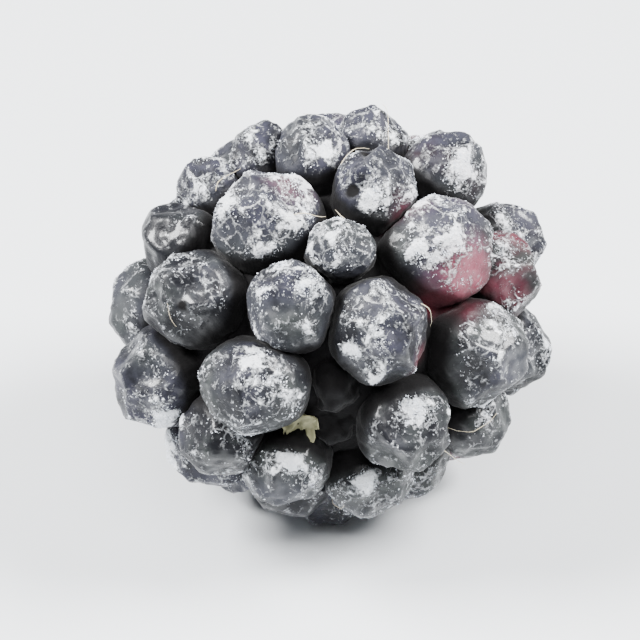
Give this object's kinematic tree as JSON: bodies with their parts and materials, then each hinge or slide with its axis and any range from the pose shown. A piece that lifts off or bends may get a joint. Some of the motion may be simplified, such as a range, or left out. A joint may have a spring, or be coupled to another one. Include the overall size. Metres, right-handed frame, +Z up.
{
  "type": "bramble berry",
  "caption": "Frozen bramble berry lying on its side: plump drupelets round a core, with the pale receptacle end in the hollow where the stalk came away.",
  "frame": {"origin": "on the surface that the berry lies on, below the middle of its box", "axes": "+Z up, +Y along the berry's own axis towards the stalk end, tip towards -Y"},
  "size_m": [0.0224, 0.0238, 0.0213],
  "materials": {
    "frosted_drupelet_skin": "blue-black fruit skin with a wine-red blush, under white frost",
    "receptacle_pith": "cream to orange fibrous pith, torn and slightly stained"
  },
  "bodies": {
    "root": {"drupelet_head": "frosted_drupelet_skin", "receptacle_end": "receptacle_pith"}
  },
  "joints": []
}
